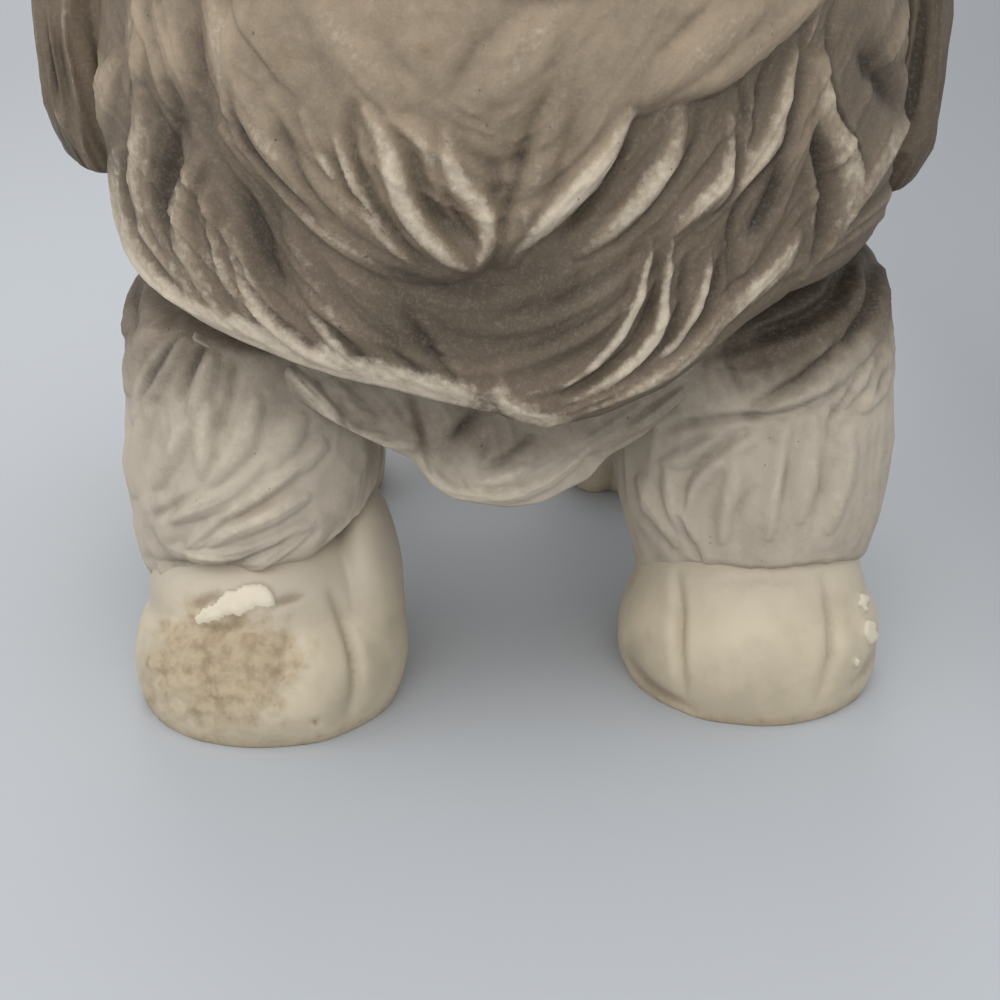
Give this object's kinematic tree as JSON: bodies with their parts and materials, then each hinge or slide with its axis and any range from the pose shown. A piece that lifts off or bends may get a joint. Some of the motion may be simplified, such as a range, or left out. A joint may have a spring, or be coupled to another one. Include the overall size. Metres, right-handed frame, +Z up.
{
  "type": "rubber squeak toy",
  "caption": "Standing shaggy dog squeak toy: hollow rubber body, plug-in head that turns on its neck, and a metal reed squeaker in the belly.",
  "frame": {"origin": "on the floor, under the middle of the whole toy", "axes": "+Z up, the dog looks along -Y, its left side is at +X"},
  "size_m": [0.1278, 0.15, 0.1516],
  "materials": {
    "body_rubber": "matt aged off-white rubber",
    "head_rubber": "matt aged off-white rubber with grey sprayed into the fur",
    "squeaker_aluminium": "plain turned aluminium",
    "squeaker_brass": "plain stamped brass",
    "squeaker_bronze": "plain rolled phosphor bronze"
  },
  "bodies": {
    "body": {"body_shell": "body_rubber", "squeaker_cup": "squeaker_aluminium", "squeaker_reed_plate": "squeaker_brass", "squeaker_rivet": "squeaker_aluminium", "squeaker_cap": "squeaker_aluminium"},
    "head": {"head_shell": "head_rubber"},
    "reed": {"squeaker_reed": "squeaker_bronze"}
  },
  "joints": [
    {"name": "head_swivel", "type": "hinge", "parent": "body", "child": "head", "pos_m": [0, -0.024, 0.0733], "axis": [0, 0, 1], "range_deg": [-20, 20]},
    {"name": "reed_flex", "type": "hinge", "parent": "body", "child": "reed", "pos_m": [0, 0.0043, 0.0418], "axis": [1, 0, 0], "range_deg": [-3, 3], "stiffness_Nm_per_rad": 0.001}
  ]
}
